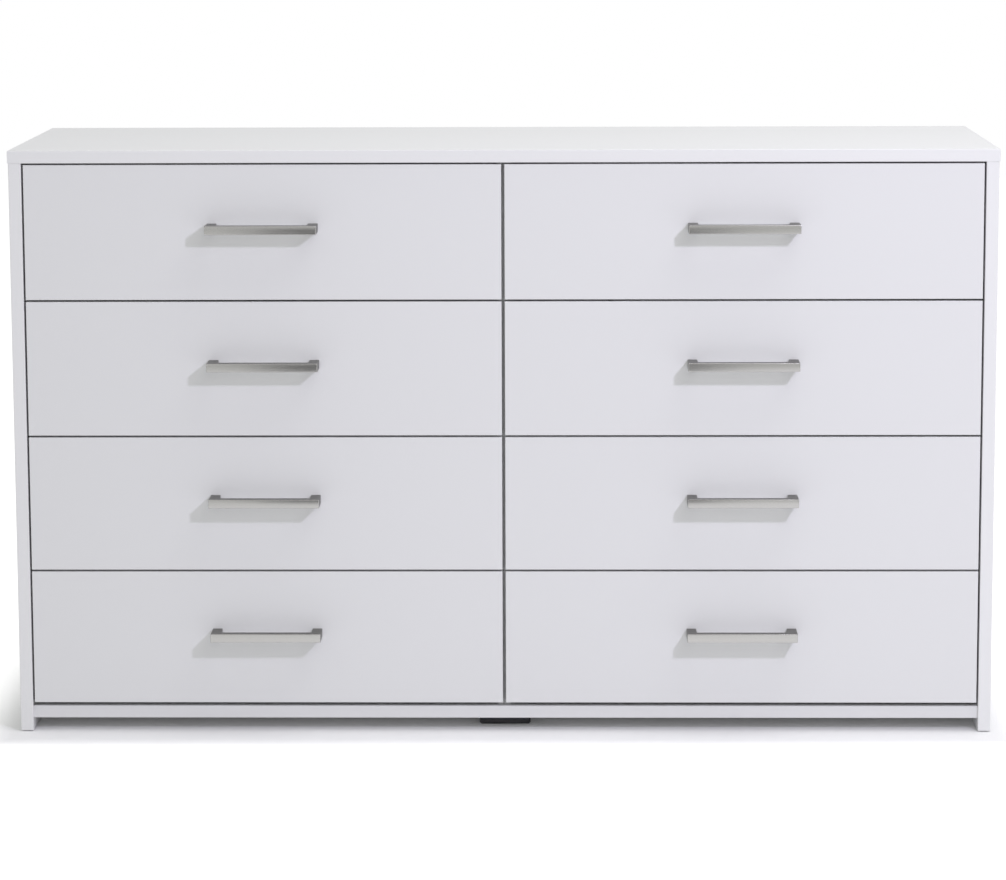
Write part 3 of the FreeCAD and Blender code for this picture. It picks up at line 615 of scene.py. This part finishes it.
def makeGlides():
    low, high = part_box("floor_glides")
    radius, tall = 0.00625, 0.0016
    profile = [(0, 0), (radius * 0.86, 0), (radius * 0.97, tall * 0.3), (radius, tall * 0.7), (radius, tall),
               (0.0009, tall), (0.0009, 0.0098), (0, 0.0108)]
    grids = [turned((across, along, 0), (0, 0, 1), profile)
             for across in (low.x + radius, high.x - radius) for along in (low.y + radius, high.y - radius)]
    made = piece("nail_on_glides", grids, finishes["grey_plastic"], "carcass")
    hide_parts("floor_glides")


for name in drawerNames:
    makeHandle(name)
    makeFixings(name)
makeRunners()
makeBack()
makeNails()
makeGlides()
print("pieces made")

studio = {
    "floorSize": 16,
    "floorWhite": 0.9,
    # painted light on the floor: a glow seen only by the camera and reflections, weak under the chest and strong
    # away from it
    "paintedFloorGlow": (0.05, 0.55),  # under the chest and away from it, only to camera and reflections
    "paintedGlowWide": 0.075,  # how far out the lift grows
    "skyLight": 0.55,
    "sky": tint(0.99, 1, 0.985),
    "key": (1.27, -2.28, 1.79),
    "keySize": 0.19,
    "keyPower": 24,
    "keyColour": (0.85, 0.815, 1.0),
    "cardNear": {"left": -0.37, "right": 0.22, "y": -1.3, "z": 0.14},
    "cardFar": {"left": -0.47, "right": 0.25, "y": -2.1, "z": 0.62},
    "top": (1.1, -0.5, 3.2),
    "topSize": 2.4,
    "topPower": 32,
}


def background(finish, seenLight, hiddenLight):
    # seenLight to the camera, reflections and clear things, hiddenLight to all other rays
    path = finish.tree.nodes.new("ShaderNodeLightPath")
    seen = (Wire(finish, path.outputs["Is Camera Ray"]) + Wire(finish, path.outputs["Is Glossy Ray"])
            + Wire(finish, path.outputs["Is Transmission Ray"])) > 0.5
    return finish.node("MixShader", {}, {"Fac": seen, 1: hiddenLight, 2: seenLight})


def floorFinish():
    look = Finish("studio_floor", Roughness=0.9, Specular_IOR_Level=0.1)
    white = (studio["floorWhite"],) * 3 + (1,)
    grain = look.noise(40, 3)
    look.put(look.shader, {"Base_Color": look.blend(grain * 0.02, white, tint(0.85, 0.85, 0.85))})
    plain = Wire(look, look.shader.outputs[0])
    # painted light: the floor's glow grows with distance outside the chest's outline, so the floor near the chest
    # stays darker as painted shade on top of its real shadow
    low, high = cadBounds
    outside = [abs(look.along(axis)) - reach for axis, reach in (("X", high.x), ("Y", high.y))]
    away = look.maths("MAXIMUM", *outside)
    least, most = studio["paintedFloorGlow"]
    values = {"Value": away, 1: 0, 2: studio["paintedGlowWide"], 3: least, 4: most}
    paintedGlowAmount = look.node("MapRange", {"interpolation_type": "SMOOTHSTEP"}, values)
    paintedGlowShader = look.node("Emission", {}, {"Color": tint(1, 1, 1), "Strength": paintedGlowAmount})
    floorWithPaintedGlow = look.node("AddShader", {}, {0: plain, 1: paintedGlowShader})
    shown = background(look, floorWithPaintedGlow, plain)
    look.put(look.tree.nodes["Material Output"], {"Surface": shown})
    return look.material


def makeFloor():
    half = studio["floorSize"] / 2
    corners = [(-half, -half, 0), (half, -half, 0), (half, half, 0), (-half, half, 0)]
    mesh = bpy.data.meshes.new("studio_floor")
    mesh.from_pydata(corners, [], [(0, 1, 2, 3)])
    mesh.materials.append(floorFinish())
    floor = bpy.data.objects.new("studio_floor", mesh)
    bpy.context.scene.collection.objects.link(floor)


def makeCard():
    # a dark card in front of the chest that only reflections see, for contrast on the handles
    near, far = studio["cardNear"], studio["cardFar"]
    corners = [(edge[side], edge["y"], edge["z"])
               for edge, side in ((near, "left"), (near, "right"), (far, "right"), (far, "left"))]
    mesh = bpy.data.meshes.new("dark_card")
    mesh.from_pydata(corners, [], [(0, 1, 2, 3)])
    look = Finish("card_felt", Roughness=1.0, Specular_IOR_Level=0.0)
    look.put(look.shader, {"Base_Color": look.blend(look.noise(300, 2), tint(0.2, 0.2, 0.2), tint(0.3, 0.3, 0.3))})
    mesh.materials.append(look.material)
    card = bpy.data.objects.new("dark_card", mesh)
    card.visible_camera = card.visible_diffuse = card.visible_shadow = False
    bpy.context.scene.collection.objects.link(card)


def makeLamp(name, spot, size, power, colour=(1, 1, 1), target=(0, 0, 0.4)):
    lamp = bpy.data.lights.new(name, "AREA")
    lamp.shape = "DISK"
    lamp.size = size
    lamp.energy = power
    lamp.color = colour
    made = bpy.data.objects.new(name, lamp)
    bpy.context.scene.collection.objects.link(made)
    made.location = spot
    away = made.location - Vector(target)
    made.rotation_euler = away.to_track_quat("Z", "Y").to_euler()


def makeWorld():
    world = bpy.data.worlds.new("studio")
    bpy.context.scene.world = world
    world.use_nodes = True
    look = Finish.__new__(Finish)
    look.tree = world.node_tree
    hidden = look.node("Background", {}, {"Color": studio["sky"], "Strength": studio["skyLight"]})
    seen = look.node("Background", {}, {"Color": tint(1, 1, 1), "Strength": 1})
    look.put(look.tree.nodes["World Output"], {"Surface": background(look, seen, hidden)})


camera = {
    "spot": (0.079, -4.6, 1.099),
    "tilt": -8.26,  # degrees, below the horizon
    "turn": 1.0,
    "roll": 0.203,
    "lens": 125.9,
    "shift": -0.0596,
}


def makeCamera():
    data = bpy.data.cameras.new("camera")
    data.lens = camera["lens"]
    data.sensor_width = 36
    data.shift_y = camera["shift"]
    data.clip_end = 60
    made = bpy.data.objects.new("camera", data)
    bpy.context.scene.collection.objects.link(made)
    made.location = camera["spot"]
    angles = (90 + camera["tilt"], camera["roll"], camera["turn"])
    made.rotation_euler = [math.radians(angle) for angle in angles]
    bpy.context.scene.camera = made


makeFloor()
makeCard()
makeLamp("key_lamp", studio["key"], studio["keySize"], studio["keyPower"], studio["keyColour"])
makeLamp("top_lamp", studio["top"], studio["topSize"], studio["topPower"])
makeWorld()
makeCamera()
bpy.context.scene.view_settings.view_transform = "Standard"
print("studio ready")
